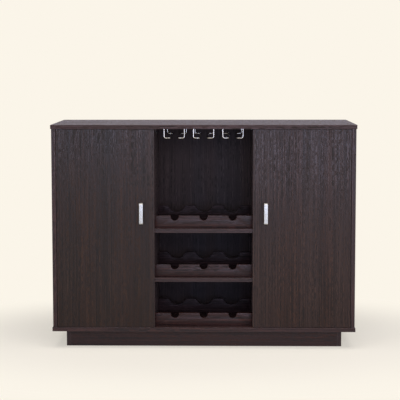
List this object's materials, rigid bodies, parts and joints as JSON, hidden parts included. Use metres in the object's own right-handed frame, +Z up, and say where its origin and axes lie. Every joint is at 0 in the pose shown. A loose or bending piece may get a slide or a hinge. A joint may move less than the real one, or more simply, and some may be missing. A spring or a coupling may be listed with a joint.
{
  "type": "wine cabinet",
  "caption": "Low dark-wood wine cabinet with inset doors either side of an open bay that has notched bottle rails on shelves and hanging wire racks for stemmed glasses.",
  "frame": {"origin": "on the floor under the middle of the boards, on the lower face of the plinth's brace", "axes": "+X to the right seen from the front, +Y to the back, +Z up; the doors face -Y"},
  "size_m": [1.2, 0.423, 0.89],
  "materials": {
    "dark_wood": "espresso wood-grain veneer, satin, fine upright grain",
    "dark_back": "thin hardboard with a printed dark grain face",
    "satin_nickel": "satin nickel plate",
    "chromed_wire": "bright plated wire",
    "plated_steel": "nickel-plated pressed steel"
  },
  "bodies": {
    "cabinet": {"top_panel": "dark_wood", "bottom_panel": "dark_wood", "side_panel_left": "dark_wood", "side_panel_right": "dark_wood", "divider_left": "dark_wood", "divider_right": "dark_wood", "shelf_upper": "dark_wood", "shelf_lower": "dark_wood", "side_shelf_left": "dark_wood", "side_shelf_right": "dark_wood", "plinth_front": "dark_wood", "plinth_back": "dark_wood", "plinth_end_left": "dark_wood", "plinth_end_right": "dark_wood", "plinth_brace": "dark_wood", "back_panel": "dark_back", "bottle_rail_front_lower": "dark_wood", "bottle_rail_front_middle": "dark_wood", "bottle_rail_front_upper": "dark_wood", "bottle_rail_back_lower": "dark_wood", "bottle_rail_back_middle": "dark_wood", "bottle_rail_back_upper": "dark_wood", "stemware_rail_1_left": "chromed_wire", "stemware_rail_1_right": "chromed_wire", "stemware_rail_2_left": "chromed_wire", "stemware_rail_2_right": "chromed_wire", "stemware_rail_3_left": "chromed_wire", "stemware_rail_3_right": "chromed_wire", "shelf_pin_left_outer_front": "plated_steel", "shelf_pin_left_outer_back": "plated_steel", "shelf_pin_left_inner_front": "plated_steel", "shelf_pin_left_inner_back": "plated_steel", "shelf_pin_right_outer_front": "plated_steel", "shelf_pin_right_outer_back": "plated_steel", "shelf_pin_right_inner_front": "plated_steel", "shelf_pin_right_inner_back": "plated_steel", "hinge_arm_left_lower": "plated_steel", "hinge_arm_left_upper": "plated_steel", "hinge_arm_right_lower": "plated_steel", "hinge_arm_right_upper": "plated_steel"},
    "door_left": {"door_left": "dark_wood", "handle_left": "satin_nickel", "handle_screw_left_lower": "plated_steel", "handle_screw_left_upper": "plated_steel", "hinge_cup_left_lower": "plated_steel", "hinge_cup_left_upper": "plated_steel"},
    "carrying_links_left": {"hinge_carrying_link_left_lower": "plated_steel", "hinge_carrying_link_left_upper": "plated_steel"},
    "steering_links_left": {"hinge_steering_link_left_lower": "plated_steel", "hinge_steering_link_left_upper": "plated_steel"},
    "door_right": {"door_right": "dark_wood", "handle_right": "satin_nickel", "handle_screw_right_lower": "plated_steel", "handle_screw_right_upper": "plated_steel", "hinge_cup_right_lower": "plated_steel", "hinge_cup_right_upper": "plated_steel"},
    "carrying_links_right": {"hinge_carrying_link_right_lower": "plated_steel", "hinge_carrying_link_right_upper": "plated_steel"},
    "steering_links_right": {"hinge_steering_link_right_lower": "plated_steel", "hinge_steering_link_right_upper": "plated_steel"}
  },
  "joints": [
    {"name": "carrying_link_turn_left", "type": "hinge", "parent": "cabinet", "child": "carrying_links_left", "pos_m": [-0.537, -0.1727, 0.48], "axis": [0, 0, -1], "range_deg": [-17.3, 0]},
    {"name": "door_turn_left", "type": "hinge", "parent": "carrying_links_left", "child": "door_left", "pos_m": [-0.5593, -0.1877, 0.48], "axis": [0, 0, -1], "range_deg": [0, 109.2]},
    {"name": "steering_link_turn_left", "type": "hinge", "parent": "cabinet", "child": "steering_links_left", "pos_m": [-0.537, -0.161, 0.48], "axis": [0, 0, -1], "range_deg": [-32.3, 0]},
    {"name": "carrying_link_turn_right", "type": "hinge", "parent": "cabinet", "child": "carrying_links_right", "pos_m": [0.537, -0.1727, 0.48], "axis": [0, 0, 1], "range_deg": [-17.3, 0]},
    {"name": "door_turn_right", "type": "hinge", "parent": "carrying_links_right", "child": "door_right", "pos_m": [0.5593, -0.1877, 0.48], "axis": [0, 0, 1], "range_deg": [0, 109.2]},
    {"name": "steering_link_turn_right", "type": "hinge", "parent": "cabinet", "child": "steering_links_right", "pos_m": [0.537, -0.161, 0.48], "axis": [0, 0, 1], "range_deg": [-32.3, 0]}
  ],
  "couplings": [
    {"joint": "carrying_link_turn_left", "follows": "door_turn_left", "ratio": -0.15754},
    {"joint": "steering_link_turn_left", "follows": "door_turn_left", "ratio": -0.29427},
    {"joint": "carrying_link_turn_right", "follows": "door_turn_right", "ratio": -0.15754},
    {"joint": "steering_link_turn_right", "follows": "door_turn_right", "ratio": -0.29427}
  ]
}
